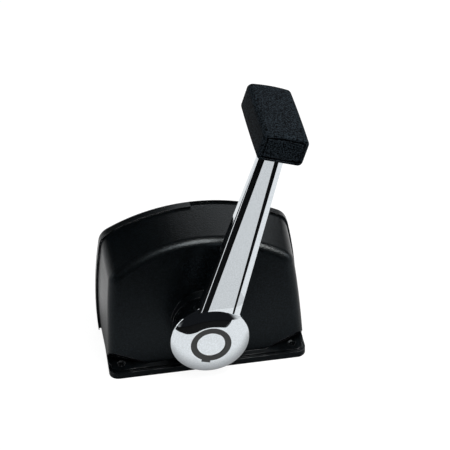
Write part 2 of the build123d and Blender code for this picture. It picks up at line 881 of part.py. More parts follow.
with BuildPart() as grip:
    with BuildSketch(grip_plane(grip_front)) as outline:
        with BuildLine():
            Line((-grip_width / 2, grip_thick / 2 - grip_crown), (-grip_width / 2, -grip_thick / 2))
            Line((-grip_width / 2, -grip_thick / 2), (grip_width / 2, -grip_thick / 2))
            Line((grip_width / 2, -grip_thick / 2), (grip_width / 2, grip_thick / 2 - grip_crown))
            ThreePointArc(
                (grip_width / 2, grip_thick / 2 - grip_crown),
                (0, grip_thick / 2),
                (-grip_width / 2, grip_thick / 2 - grip_crown),
            )
        make_face()
        fillet(outline.vertices(), grip_edge_r)
    extrude(amount=-grip_length)
    fillet(grip.faces().sort_by(Axis.Y)[0].edges() + grip.faces().sort_by(Axis.Y)[-1].edges(), grip_end_r)
    with BuildSketch(grip_plane(grip_front + grip_seam_depth)) as seam:
        Rectangle(grip_width - 2 * grip_seam, grip_thick - 2 * grip_seam)
        fillet(seam.vertices(), grip_edge_r - grip_seam / 2)
        offset(amount=-grip_seam_width, mode=Mode.SUBTRACT)
    extrude(amount=2 * grip_seam_depth, mode=Mode.SUBTRACT)
    add(core_block(0), mode=Mode.SUBTRACT)
    add(arm_slot, mode=Mode.SUBTRACT)
    add(tang_slot, mode=Mode.SUBTRACT)
grip.part.label = "grip"

with BuildPart() as grip_core:
    add(core_block(0))
    add(tang_slot, mode=Mode.SUBTRACT)
    add(arm_slot, mode=Mode.SUBTRACT)
    for x in (-core_screw_x, core_screw_x):
        place = lever_frame.from_local_coords((x, 0, core_screw_z))
        add(rod(core_screw_r, core_front, core_front + core_screw_length + core_head_h,
                place.X, place.Z), mode=Mode.SUBTRACT)
        add(rod(core_head_r + running, core_front, core_front + core_head_h + clear,
                place.X, place.Z), mode=Mode.SUBTRACT)
grip_core.part.label = "grip_core"

with BuildPart() as core_screws:
    core_places = [
        lever_frame.from_local_coords((x, 0, core_screw_z)) for x in (-core_screw_x, core_screw_x)
    ]
    core_seat = core_front + core_head_h + clear
    with Locations(*[facing_front(place.X, core_seat, place.Z) for place in core_places]):
        add(pan_screw(core_screw_r, core_screw_length - 2 * clear, core_head_r, core_head_h))
core_screws.part.label = "core_screws"

# ---------------------------------------------------------------- warm-up button
with BuildPart() as warm_up_button:
    add(rod(button_r, button_front, button_front + button_disc + button_skirt))
    fillet(warm_up_button.faces().sort_by(Axis.Y)[0].edges(), button_disc / 4)
    add(rod(button_r - button_wall, button_front + button_disc, button_front + button_disc + button_skirt),
        mode=Mode.SUBTRACT)
warm_up_button.part.label = "warm_up_button"

with BuildPart() as button_rod:
    add(rod(rod_r, button_front + button_disc, pin_y + 2 * clutch_pin_r))
    with Locations((0, pin_y, axis_z)):
        Cylinder(clutch_pin_r, 4 * rod_r, rotation=(0, 90, 0), mode=Mode.SUBTRACT)
button_rod.part.label = "button_rod"

with BuildPart() as clutch_pin:
    with Locations((0, pin_y, axis_z)):
        Cylinder(clutch_pin_r, clutch_pin_length, rotation=(0, 90, 0))
clutch_pin.part.label = "clutch_pin"

with BuildPart() as button_spring:
    spring_start = button_front + button_disc + button_spring_wire / 2 + running
    spring_run = web_y - button_spring_wire / 2 - running - spring_start
    with BuildLine() as coil:
        Helix(spring_run / button_spring_turns, spring_run, button_spring_r,
              center=(0, spring_start, axis_z), direction=(0, 1, 0))
    with BuildSketch(coil.line ^ 0):
        RegularPolygon(button_spring_wire / 2, 8)
    sweep(is_frenet=True)
button_spring.part.label = "button_spring"


# ---------------------------------------------------------------- gear pair
def involute(angle):
    return tan(angle) - angle


def tooth(teeth, addendum):
    """One tooth's outline as (radius, angle from its middle), root to root."""
    pitch_r = gear_module * teeth / 2
    base_r = pitch_r * cos(pressure_angle)
    root_r = pitch_r - 1.25 * gear_module
    tip_r = pitch_r + addendum * gear_module
    half = pi / (2 * teeth) - gear_backlash / (2 * pitch_r) + involute(pressure_angle)
    start_r = max(base_r, root_r)
    flank = []
    for i in range(flank_points):
        radius = start_r + (tip_r - start_r) * i / (flank_points - 1)
        flank.append((radius, half - involute(acos(min(1.0, base_r / radius)))))
    if root_r < base_r:
        flank.insert(0, (root_r, flank[0][1]))
    return [(r, -a) for r, a in flank] + [(r, a) for r, a in reversed(flank)]


def toothed(teeth, count, middle, centre_z, addendum=1.0):
    """Outline points of count teeth about the middle direction, in degrees."""
    pitch = 2 * pi / teeth
    first = radians(middle) - pitch * (count - 1) / 2
    points = []
    for i in range(count):
        for radius, angle in tooth(teeth, addendum):
            turn = first + i * pitch + angle
            points.append((radius * cos(turn), centre_z + radius * sin(turn)))
    return points


with BuildPart() as drive_gear:
    with BuildSketch(across(gear_y)):
        with BuildLine():
            Polyline(*toothed(gear_teeth, gear_teeth, 90 + 180 / gear_teeth, axis_z),
                     close=True)
        make_face()
    extrude(amount=-gear_width)
    add(rod(gear_collar_r, gear_shoulder, gear_y))
    add(rod(gear_seat_r + running, gear_shoulder, gear_back), mode=Mode.SUBTRACT)
    with Locations((0, pin_y - clutch_pin_r - running, axis_z)):
        Box(
            clutch_pin_length + clear, gear_width, 2 * clutch_pin_r + 2 * running,
            align=(Align.CENTER, Align.MIN, Align.CENTER), mode=Mode.SUBTRACT,
        )
drive_gear.part.label = "drive_gear"

with BuildPart() as spacer_sleeve:
    add(rod(sleeve_r, gear_back, disc_y))
    add(rod(sleeve_bore_r, gear_back, disc_y), mode=Mode.SUBTRACT)
spacer_sleeve.part.label = "spacer_sleeve"


def link(x0, z0, r0, x1, z1, r1):
    """A flat link's outline between two round ends."""
    run = Vector(x1 - x0, z1 - z0).normalized()
    side = Vector(-run.Y, run.X)
    with BuildSketch() as flat:
        with BuildLine():
            Polyline(
                (x0 + r0 * side.X, z0 + r0 * side.Y),
                (x1 + r1 * side.X, z1 + r1 * side.Y),
                (x1 - r1 * side.X, z1 - r1 * side.Y),
                (x0 - r0 * side.X, z0 - r0 * side.Y),
                close=True,
            )
        make_face()
        with Locations((x0, z0)):
            Circle(r0)
        with Locations((x1, z1)):
            Circle(r1)
    return flat.sketch


with BuildPart() as shift_arm:
    with BuildSketch(across(gear_y)):
        with BuildLine():
            Polyline((0, shift_z), *toothed(sector_teeth, sector_count, -90, shift_z, sector_addendum),
                     close=True)
        make_face()
        with Locations((0, shift_z - sector_window_z)):
            Circle(sector_window_r, mode=Mode.SUBTRACT)
        add(link(0, shift_z, shift_boss_r, *shift_end, eye_r))
    extrude(amount=-gear_width)
    add(rod(shift_boss_r, front_plate_back + clear, rear_plate_y - clear, 0, shift_z))
    add(rod(shift_pin_r + running, front_plate_back, rear_plate_y, 0, shift_z), mode=Mode.SUBTRACT)
    add(rod(swivel_pin_r + running, gear_y, gear_back, *shift_end), mode=Mode.SUBTRACT)
shift_arm.part.label = "shift_arm"

with BuildPart() as shift_pin:
    add(rod(shift_pin_r, front_plate_y, rear_plate_back + 2 * clip_thick, 0, shift_z))
    add(rod(pin_head_r, front_plate_y - pin_head_h, front_plate_y, 0, shift_z))
shift_pin.part.label = "shift_pin"


def clip(radius, bore_r, y0, x, z):
    """A push-on retaining clip over a pin's end."""
    with BuildPart() as made:
        add(rod(radius, y0, y0 + clip_thick, x, z))
        add(rod(bore_r, y0, y0 + clip_thick, x, z), mode=Mode.SUBTRACT)
    return made.part


with BuildPart() as shift_pin_clip:
    add(clip(pin_head_r, shift_pin_r, rear_plate_back, 0, shift_z))
shift_pin_clip.part.label = "shift_pin_clip"

# ---------------------------------------------------------------- throttle crank
with BuildPart() as throttle_crank:
    with BuildSketch(across(crank_front)):
        add(link(0, axis_z, crank_boss_r, *crank_end, eye_r))
    extrude(amount=-crank_thick)
    add(rod(crank_boss_r, journal_end, crank_front))
    add(two_flats(crank_seat_r + running, crank_flat + running, journal_end, crank_back), mode=Mode.SUBTRACT)
    add(rod(swivel_pin_r + running, crank_front, crank_back, *crank_end), mode=Mode.SUBTRACT)
throttle_crank.part.label = "throttle_crank"


def swivel(face, thickness, length, x, z, label):
    """A cable swivel: a pin through the eye and a cross-drilled barrel behind it."""
    with BuildPart() as made:
        add(rod(swivel_pin_r, face - 2.5 * clip_thick, face + thickness + clear, x, z))
        add(rod(swivel_r, face + thickness + clear, face + thickness + clear + length, x, z))
        with Locations((x, face + thickness + clear + length / 2, z)):
            Cylinder(cable_rod_r, 4 * swivel_r, mode=Mode.SUBTRACT)
    made.part.label = label
    return made


shift_swivel = swivel(gear_y, gear_width, swivel_length, *shift_end, "shift_swivel")
throttle_swivel = swivel(crank_front, crank_thick, throttle_swivel_length, *crank_end, "throttle_swivel")
with BuildPart() as shift_swivel_clip:
    add(clip(swivel_r, swivel_pin_r, gear_y - clip_thick - clear / 2, *shift_end))
shift_swivel_clip.part.label = "shift_swivel_clip"
with BuildPart() as throttle_swivel_clip:
    add(clip(swivel_r, swivel_pin_r, crank_front - clip_thick - clear / 2, *crank_end))
throttle_swivel_clip.part.label = "throttle_swivel_clip"


# ---------------------------------------------------------------- cable anchors
def cable_anchor(plate_back, cable_y, x, label):
    """A block on the back of a plate that clamps a cable's sleeve end."""
    block_back = cable_y + conduit_r + anchor_wall
    with BuildPart() as made:
        with Locations((x, plate_back, anchor_bottom)):
            Box(anchor_width, block_back - plate_back, anchor_height,
                align=(Align.CENTER, Align.MIN, Align.MIN))
            Box(anchor_width, anchor_ear_thick, anchor_height + anchor_ear,
                align=(Align.CENTER, Align.MIN, Align.MIN))
        with Locations((x, cable_y, anchor_bottom)):
            Cylinder(conduit_r + running, 4 * anchor_height, mode=Mode.SUBTRACT)
        for dx in (-anchor_screw_x, anchor_screw_x):
            add(rod(anchor_screw_r, plate_back, plate_back + anchor_ear_thick, x + dx, anchor_screw_z),
                mode=Mode.SUBTRACT)
    made.part.label = label
    return made


shift_cable_y = gear_back + clear + swivel_length / 2
throttle_cable_y = crank_back + clear + throttle_swivel_length / 2
shift_anchor = cable_anchor(front_plate_back, shift_cable_y, shift_end[0], "shift_anchor")
throttle_anchor = cable_anchor(rear_plate_back, throttle_cable_y, 0, "throttle_anchor")
anchor_places = [
    (x + dx, y, anchor_screw_z)
    for x, y in ((shift_end[0], front_plate_back), (0, rear_plate_back))
    for dx in (-anchor_screw_x, anchor_screw_x)
]

with BuildPart() as anchor_screws:
    with Locations(*[facing_back(x, y + anchor_ear_thick, z) for x, y, z in anchor_places]):
        add(pan_screw(anchor_screw_r, anchor_ear_thick + plate - clear, anchor_head_r, anchor_head_h))
anchor_screws.part.label = "anchor_screws"

# ---------------------------------------------------------------- detent
def detent_notch(turn):
    """A rounded V across the disc's rim, turned from the side where the spring sits."""
    tip = spring_path[3][0] + notch_clear
    spread = (disc_r + notch_depth + tip) * tan(radians(notch_half_angle))
    with BuildPart() as notch:
        with BuildSketch(across(disc_y)) as outline:
            with BuildLine():
                Polyline(
                    (tip, axis_z),
                    (-disc_r - notch_depth, axis_z + spread),
                    (-disc_r - notch_depth, axis_z - spread),
                    close=True,
                )
            make_face()
            fillet(outline.vertices().sort_by(Axis.X)[-1], spring_bend_r - spring_thick)
        extrude(amount=-disc_thick)
    return notch.part.rotate(shaft_axis, turn)


with BuildPart() as detent_disc:
    add(rod(disc_r, disc_y, disc_end))
    with BuildSketch(switch_plane(disc_y)):
        with Locations((lobe_root, 0)):
            RectangleRounded(2 * (disc_r + lobe_rise - lobe_root), lobe_width, lobe_corner_r)
    extrude(amount=-disc_thick)
    for turn in (-notch_step, 0, notch_step):
        add(detent_notch(turn), mode=Mode.SUBTRACT)
    add(two_flats(gear_seat_r + running, disc_flat + running, disc_y, disc_end), mode=Mode.SUBTRACT)
detent_disc.part.label = "detent_disc"

with BuildPart() as detent_spring:
    with BuildSketch(across(disc_y + (disc_thick - spring_width) / 2)):
        with BuildLine() as leaf:
            FilletPolyline(*spring_path, radius=spring_bend_r)
        trace(leaf.line, line_width=spring_thick)
    extrude(amount=-spring_width)
    for x, z in leaf_screw_places:
        with Locations((x, leaf_y, z)):
            Cylinder(leaf_screw_r, 4 * spring_thick, rotation=(0, 90, 0), mode=Mode.SUBTRACT)
detent_spring.part.label = "detent_spring"

with BuildPart() as spring_block:
    with Locations((leaf_x - spring_thick / 2, rear_plate_y, spring_path[0][1])):
        Box(block_width, rear_plate_y - disc_y + spring_thick, block_height,
            align=(Align.MAX, Align.MAX, Align.MAX))
    for x, z in leaf_screw_places:
        with Locations((x, leaf_y, z)):
            Cylinder(leaf_screw_r, 2 * block_depth, rotation=(0, 90, 0), mode=Mode.SUBTRACT)
    for x, z in block_screw_places:
        add(rod(block_screw_r, rear_plate_y - block_depth, rear_plate_y, x, z), mode=Mode.SUBTRACT)
spring_block.part.label = "spring_block"

with BuildPart() as leaf_screws:
    leaf_heads = [
        Plane(origin=(x + spring_thick / 2, leaf_y, z), x_dir=(0, 1, 0), z_dir=(1, 0, 0))
        for x, z in leaf_screw_places
    ]
    with Locations(*[head.location for head in leaf_heads]):
        add(pan_screw(leaf_screw_r, block_depth, leaf_head_r, switch_head_h))
leaf_screws.part.label = "leaf_screws"

with BuildPart() as block_screws:
    with Locations(*[facing_back(x, rear_plate_back, z) for x, z in block_screw_places]):
        add(pan_screw(block_screw_r, plate + block_depth - clear, leaf_head_r, switch_head_h))
block_screws.part.label = "block_screws"

# ---------------------------------------------------------------- neutral switch
def radial_place(reach):
    """A place at a reach from the shaft, its local +Z pointing out to the switch."""
    x, z = towards_switch(reach)
    return Plane(origin=(x, leaf_y, z), x_dir=(0, 1, 0), z_dir=(cos(switch_turn), 0, sin(switch_turn)))


with BuildPart() as switch_body:
    with BuildSketch(switch_plane(switch_y)):
        with Locations((switch_r, 0)):
            Rectangle(switch_depth, switch_length)
        with Locations((switch_r, -switch_screw_x), (switch_r, switch_screw_x)):
            Circle(switch_screw_r, mode=Mode.SUBTRACT)
    extrude(amount=-(rear_plate_y - switch_y))
    fillet(switch_body.edges().filter_by(Axis.Y).filter_by(GeomType.LINE), spring_thick)
    with Locations(radial_place(switch_face)):
        Cylinder(plunger_r + running, plunger_seat_depth + plunger_travel + clear,
                 align=(Align.CENTER, Align.CENTER, Align.MIN), mode=Mode.SUBTRACT)
switch_body.part.label = "switch_body"

with BuildPart() as switch_plunger:
    with Locations(radial_place(switch_face - plunger_reach)):
        Cylinder(
            plunger_r, plunger_reach + plunger_seat_depth, align=(Align.CENTER, Align.CENTER, Align.MIN)
        )
    fillet(switch_plunger.edges().sort_by(Axis.Z)[0], plunger_r / 2)
switch_plunger.part.label = "switch_plunger"

with BuildPart() as switch_terminals:
    terminal_r = switch_r + (switch_depth + terminal[0]) / 2
    with BuildSketch(switch_plane((switch_y + rear_plate_y - terminal[1]) / 2)):
        with Locations(*[(terminal_r, t) for t in (-switch_screw_x, 0, switch_screw_x)]):
            Rectangle(terminal[0], terminal[2])
    extrude(amount=-terminal[1])
switch_terminals.part.label = "switch_terminals"

with BuildPart() as switch_screws:
    with Locations(*[facing_front(x, switch_y, z) for x, z in switch_screw_places]):
        add(pan_screw(switch_screw_r, rear_plate_back - switch_y - clear, switch_head_r, switch_head_h))
switch_screws.part.label = "switch_screws"

# ---------------------------------------------------------------- files
pieces = [
    base_tray, front_shell, rear_cover, cover_screws, shaft_seal,
    front_plate, rear_plate, foot_screws, spacer_posts, post_screws, front_bush, rear_bush,
    shift_pin, shift_pin_clip, shift_anchor, throttle_anchor, anchor_screws,
    spring_block, detent_spring, leaf_screws, block_screws,
    switch_body, switch_terminals, switch_screws, switch_plunger,
    lever_arm, ring_bezel, grip, grip_core, core_screws,
    main_shaft, hub_washer, hub_nut, drive_gear, spacer_sleeve, detent_disc,
    throttle_crank, crank_washer, crank_nut,
    warm_up_button, button_rod, clutch_pin, button_spring,
    shift_arm, shift_swivel, shift_swivel_clip, throttle_swivel, throttle_swivel_clip,
]
os.makedirs("parts", exist_ok=True)
for piece in pieces:
    export_step(piece.part, f"parts/{piece.part.label}.step")
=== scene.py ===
import json
import math

import bmesh
import bpy
from mathutils import Matrix, Vector


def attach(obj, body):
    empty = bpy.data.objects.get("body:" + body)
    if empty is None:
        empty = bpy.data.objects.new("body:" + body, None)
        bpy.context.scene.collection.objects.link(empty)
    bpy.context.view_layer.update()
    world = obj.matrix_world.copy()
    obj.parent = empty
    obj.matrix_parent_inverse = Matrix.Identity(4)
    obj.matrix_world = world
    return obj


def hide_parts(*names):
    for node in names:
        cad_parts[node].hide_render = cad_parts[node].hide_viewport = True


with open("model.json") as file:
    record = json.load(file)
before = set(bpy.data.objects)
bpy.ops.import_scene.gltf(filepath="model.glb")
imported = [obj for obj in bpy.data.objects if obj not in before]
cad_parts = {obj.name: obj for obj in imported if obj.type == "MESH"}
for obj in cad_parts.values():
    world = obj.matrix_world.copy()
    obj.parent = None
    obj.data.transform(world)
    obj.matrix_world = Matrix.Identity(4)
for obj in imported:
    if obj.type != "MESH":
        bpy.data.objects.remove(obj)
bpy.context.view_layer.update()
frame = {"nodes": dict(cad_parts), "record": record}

nodes = frame["nodes"]
print("frame loaded")


# the stage: camera, floor, lamps and the white studio around the control, in metres and watts
camera = {
    "place": (-0.14782, -1.24461, 1.03798),
    "azimuth": 7.9,
    "elevation": 35.85,
    "roll": -1.83,
    "lens": 137.36,
    "sensor": 36,
    "clipEnd": 20,
}

studio = {
    "floorHalf": 1.6,
    "floorColor": (0.86, 0.86, 0.86),
    "floorWhite": 1.1,
    # size, reach and depth of the painted shadow on the floor around the base, which only reflections
    # see
    "paintedShadowHalf": (0.092, 0.042),
    "paintedShadowReach": 0.06,
    "paintedShadowDark": 0.2,
    "shadowShare": 0.15,
    "cameraWhite": 1.05,
    "skyLow": (0.95, 0.95, 0.95),
    "skyHigh": (0.012, 0.013, 0.015),
    "skyFrontStart": -0.75,
    "skyFrontEnd": -0.55,
    "skyRiseStart": 0.03,
    "skyRiseEnd": 0.28,
    "skyStrength": 0.9,
    # colour and height of the dark sheet that paints dark reflections
    "darkReflectionColor": (0.01, 0.01, 0.01),
    "darkReflectionHeight": 0.002,
}

lamps = {
    "overhead": {"place": (0.3, -0.45, 1.3), "aim": (0, 0, 0.1), "size": (1.3, 0.5), "power": 22},
    "backWash": {"place": (0.62, 1.45, 1.1), "aim": (0, 0, 0.05), "size": (1.6, 0.7), "power": 8},
    "leftFill": {"place": (-1.6, 0.3, 0.5), "aim": (0, 0, 0.08), "size": (0.7, 0.7), "power": 3},
    "rightFill": {"place": (1.5, -0.3, 0.7), "aim": (0, 0, 0.08), "size": (0.5, 0.7), "power": 8},
}

# a painted dark reflection: a dark sheet lying on the floor in place of the dark room beyond the white
# table, which only reflections see; its outline on the floor
darkReflectionSheet = [
    (0.005, -0.174), (-0.015, -0.174), (-0.062, -0.200), (-0.170, -0.256), (-0.332, -0.300),
    (-1.60, -0.80), (-1.60, -1.70), (1.35, -1.70), (0.444, -0.640), (0.290, -0.465), (0.100, -0.245),
    (0.060, -0.200), (0.030, -0.186),
]

# sheets that only reflections see, each glowing on one side though neither is a lamp, as painted
# reflections: a white one before the arm, seen from above, which paints white into the chrome, and a
# glowing sheet overhead, seen from below, which paints the highlight along the housing's ridge
sheets = {
    "whiteSheet": {"outline": [(-0.008, -0.062), (0.036, -0.062), (0.114, -0.296), (0.068, -0.325)],
                   "height": 0.085, "white": 0.88, "up": True},
    "paintedHighlightSheet": {"outline": [(0.0, -1.0), (1.4, -1.0), (1.4, -0.15), (0.0, -0.15)], "height": 1.35,
                "white": 34.0, "up": False, "tone": (1.0, 0.88, 0.78)},
}


def newMaterial(name):
    material = bpy.data.materials.new(name)
    material.use_nodes = True
    tree = material.node_tree
    tree.nodes.clear()
    output = tree.nodes.new("ShaderNodeOutputMaterial")
    return material, tree, output


def addNode(tree, kind, inputs=None, **settings):
    node = tree.nodes.new(kind)
    for key, value in settings.items():
        setattr(node, key, value)
    for key, value in (inputs or {}).items():
        if isinstance(value, bpy.types.NodeSocket):
            tree.links.new(value, node.inputs[key])
        else:
            node.inputs[key].default_value = value
    return node


def addPiece(name, mesh):
    piece = bpy.data.objects.new(name, mesh)
    bpy.context.scene.collection.objects.link(piece)
    return piece


def makeCamera():
    data = bpy.data.cameras.new("viewCamera")
    data.lens = camera["lens"]
    data.sensor_width = camera["sensor"]
    data.clip_end = camera["clipEnd"]
    view = bpy.data.objects.new("viewCamera", data)
    turn = Matrix.Rotation(math.radians(-camera["azimuth"]), 4, "Z")
    tip = Matrix.Rotation(math.radians(90 - camera["elevation"]), 4, "X")
    roll = Matrix.Rotation(math.radians(camera["roll"]), 4, "Z")
    view.matrix_world = Matrix.Translation(camera["place"]) @ turn @ tip @ roll
    bpy.context.scene.collection.objects.link(view)
    bpy.context.scene.camera = view


def makeFloor():
    material, tree, output = newMaterial("floorPaint")
    path = addNode(tree, "ShaderNodeLightPath")
    paint = addNode(tree, "ShaderNodeBsdfDiffuse", {"Color": (*studio["floorColor"], 1)})
    # painted shadow: reflections see the floor darken under and close around the base, while the camera
    # sees it evenly white
    spot = addNode(tree, "ShaderNodeTexCoord")
    size = addNode(tree, "ShaderNodeVectorMath", {0: spot.outputs["Object"]}, operation="ABSOLUTE")
    beyond = addNode(tree, "ShaderNodeVectorMath", {0: size.outputs[0], 1: (*studio["paintedShadowHalf"], 0)},
                     operation="SUBTRACT")
    outside = addNode(tree, "ShaderNodeVectorMath", {0: beyond.outputs[0], 1: (0, 0, 0)},
                      operation="MAXIMUM")
    reach = addNode(tree, "ShaderNodeVectorMath", {0: outside.outputs[0]}, operation="LENGTH")
    paintedShadow = addNode(tree, "ShaderNodeMapRange",
                      {"Value": reach.outputs["Value"], "From Max": studio["paintedShadowReach"],
                       "To Min": studio["paintedShadowDark"]}, interpolation_type="SMOOTHSTEP")
    lit = addNode(tree, "ShaderNodeMath", {0: paintedShadow.outputs[0], 1: path.outputs["Is Camera Ray"]},
                  operation="MAXIMUM")
    strength = addNode(tree, "ShaderNodeMath", {0: lit.outputs[0], 1: studio["floorWhite"]},
                       operation="MULTIPLY")
    white = addNode(tree, "ShaderNodeEmission", {"Color": (1, 1, 1, 1), "Strength": strength.outputs[0]})
    either = addNode(tree, "ShaderNodeMath",
                     {0: path.outputs["Is Camera Ray"], 1: path.outputs["Is Glossy Ray"]},
                     operation="MAXIMUM")
    through = addNode(tree, "ShaderNodeMath",
                      {0: either.outputs[0], 1: path.outputs["Is Transmission Ray"]},
                      operation="MAXIMUM")
    seen = addNode(tree, "ShaderNodeMath", {0: through.outputs[0], 1: 1 - studio["shadowShare"]},
                   operation="MULTIPLY")
    mix = addNode(tree, "ShaderNodeMixShader",
                  {0: seen.outputs[0], 1: paint.outputs[0], 2: white.outputs[0]})
    tree.links.new(mix.outputs[0], output.inputs["Surface"])
    mesh = bpy.data.meshes.new("floor")
    bm = bmesh.new()
    bmesh.ops.create_grid(bm, x_segments=1, y_segments=1, size=studio["floorHalf"])
    bm.to_mesh(mesh)
    bm.free()
    floor = addPiece("floor", mesh)
    floor.data.materials.append(material)


def addCard(name, outline, height, up, material):
    mesh = bpy.data.meshes.new(name)
    bm = bmesh.new()
    face = bm.faces.new([bm.verts.new((x, y, height)) for x, y in outline])
    face.normal_update()
    if (face.normal.z > 0) != up:
        face.normal_flip()
    bm.to_mesh(mesh)
    bm.free()
    mesh.materials.append(material)
    card = addPiece(name, mesh)
    card.visible_camera = False
    card.visible_diffuse = False
    card.visible_shadow = False


def makeCards():
    # the dark sheet is a painted reflection: only glossy rays see it
    black, tree, output = newMaterial("darkReflectionSheet")
    matte = addNode(tree, "ShaderNodeBsdfDiffuse", {"Color": (*studio["darkReflectionColor"], 1)})
    tree.links.new(matte.outputs[0], output.inputs["Surface"])
    addCard("darkReflectionSheet", darkReflectionSheet, studio["darkReflectionHeight"], True, black)
    # each glowing sheet is a painted reflection or highlight, seen only by reflections
    for name, values in sheets.items():
        white, tree, output = newMaterial(name)
        side = addNode(tree, "ShaderNodeNewGeometry")
        glow = addNode(tree, "ShaderNodeEmission",
                       {"Color": (*values.get("tone", (1, 1, 1)), 1), "Strength": values["white"]})
        clear = addNode(tree, "ShaderNodeBsdfTransparent")
        mix = addNode(tree, "ShaderNodeMixShader",
                      {0: side.outputs["Backfacing"], 1: glow.outputs[0], 2: clear.outputs[0]})
        tree.links.new(mix.outputs[0], output.inputs["Surface"])
        addCard(name, values["outline"], values["height"], values["up"], white)


def makeSky():
    world = bpy.data.worlds.new("studioSky")
    world.use_nodes = True
    tree = world.node_tree
    tree.nodes.clear()
    output = addNode(tree, "ShaderNodeOutputWorld")
    path = addNode(tree, "ShaderNodeLightPath")
    place = addNode(tree, "ShaderNodeTexCoord")
    split = addNode(tree, "ShaderNodeSeparateXYZ", {0: place.outputs["Generated"]})
    height = addNode(tree, "ShaderNodeMapRange",
                     {"Value": split.outputs["Z"], "From Min": studio["skyRiseStart"],
                      "From Max": studio["skyRiseEnd"]}, interpolation_type="SMOOTHSTEP")
    behind = addNode(tree, "ShaderNodeMapRange",
                     {"Value": split.outputs["Y"], "From Min": studio["skyFrontStart"],
                      "From Max": studio["skyFrontEnd"], "To Min": 1.0, "To Max": 0.0},
                     interpolation_type="SMOOTHSTEP")
    dark = addNode(tree, "ShaderNodeMath", {0: height.outputs[0], 1: behind.outputs[0]},
                   operation="MAXIMUM")
    ramp = addNode(tree, "ShaderNodeValToRGB", {0: dark.outputs[0]})
    ramp.color_ramp.elements[0].color = (*studio["skyLow"], 1)
    ramp.color_ramp.elements[1].color = (*studio["skyHigh"], 1)
    around = addNode(tree, "ShaderNodeBackground",
                     {"Color": ramp.outputs[0], "Strength": studio["skyStrength"]})
    white = addNode(tree, "ShaderNodeBackground",
                    {"Color": (1, 1, 1, 1), "Strength": studio["cameraWhite"]})
    plain = addNode(tree, "ShaderNodeMath",
                    {0: path.outputs["Is Camera Ray"], 1: path.outputs["Is Transmission Ray"]},
                    operation="MAXIMUM")
    mix = addNode(tree, "ShaderNodeMixShader",
                  {0: plain.outputs[0], 1: around.outputs[0], 2: white.outputs[0]})
    tree.links.new(mix.outputs[0], output.inputs["Surface"])
    bpy.context.scene.world = world


def makeLamps():
    for name, values in lamps.items():
        data = bpy.data.lights.new(name, "AREA")
        data.shape = "RECTANGLE"
        data.size, data.size_y = values["size"]
        data.energy = values["power"]
        lamp = bpy.data.objects.new(name, data)
        lamp.location = values["place"]
        aim = Vector(values["aim"]) - Vector(values["place"])
        lamp.rotation_euler = aim.to_track_quat("-Z", "Y").to_euler()
        bpy.context.scene.collection.objects.link(lamp)


makeCamera()
makeFloor()
makeCards()
makeSky()
makeLamps()
bpy.context.scene.view_settings.view_transform = "Standard"
print("stage made")


# shader groups that the finishes share, in metres
grain = {
    "size": 900.0, "detail": 3.0, "roughness": 0.7, "speckleLow": 0.46, "speckleHigh": 0.56,
    "drift": 14.0, "driftDetail": 2.0, "shadeLow": 0.3, "shadeHigh": 0.7,
}

# settings of the edge mask, which carries rubbed wear and painted edge highlights
wornEdgeAndHighlight = {
    "radius": 0.0006, "samples": 4, "facingStart": 0.99, "facingEnd": 0.86, "breakup": 60.0,
    "detail": 4.0, "breakupLow": 0.42, "breakupHigh": 0.62,
}


def newGroup(name, inputs, outputs):
    group = bpy.data.node_groups.new(name, "ShaderNodeTree")
    for label, value in inputs.items():
        socket = group.interface.new_socket(label, in_out="INPUT", socket_type="NodeSocketFloat")
        socket.default_value = value
    for label, kind in outputs.items():
        group.interface.new_socket(label, in_out="OUTPUT", socket_type=kind)
    return group, group.nodes.new("NodeGroupInput"), group.nodes.new("NodeGroupOutput")


def makeGrainGroup():
    # fine moulded grain, its speckle, and a slow drift in gloss
    group, entry, leave = newGroup("mouldedGrain", {"Size": grain["size"], "Drift": grain["drift"]},
                                   {"Height": "NodeSocketFloat", "Speckle": "NodeSocketFloat",
                                    "Shade": "NodeSocketFloat"})
    place = addNode(group, "ShaderNodeTexCoord")
    fine = addNode(group, "ShaderNodeTexNoise",
                   {"Vector": place.outputs["Object"], "Scale": entry.outputs["Size"],
                    "Detail": grain["detail"], "Roughness": grain["roughness"]})
    cells = addNode(group, "ShaderNodeTexVoronoi",
                    {"Vector": place.outputs["Object"], "Scale": entry.outputs["Size"]},
                    feature="SMOOTH_F1")
    both = addNode(group, "ShaderNodeMath", {0: fine.outputs["Fac"], 1: cells.outputs["Distance"]},
                   operation="ADD")
    speckle = addNode(group, "ShaderNodeMapRange",
                      {"Value": fine.outputs["Fac"], "From Min": grain["speckleLow"],
                       "From Max": grain["speckleHigh"]})
    slow = addNode(group, "ShaderNodeTexNoise",
                   {"Vector": place.outputs["Object"], "Scale": entry.outputs["Drift"],
                    "Detail": grain["driftDetail"]})
    group.links.new(both.outputs[0], leave.inputs["Height"])
    group.links.new(speckle.outputs[0], leave.inputs["Speckle"])
    group.links.new(slow.outputs["Fac"], leave.inputs["Shade"])
    return group


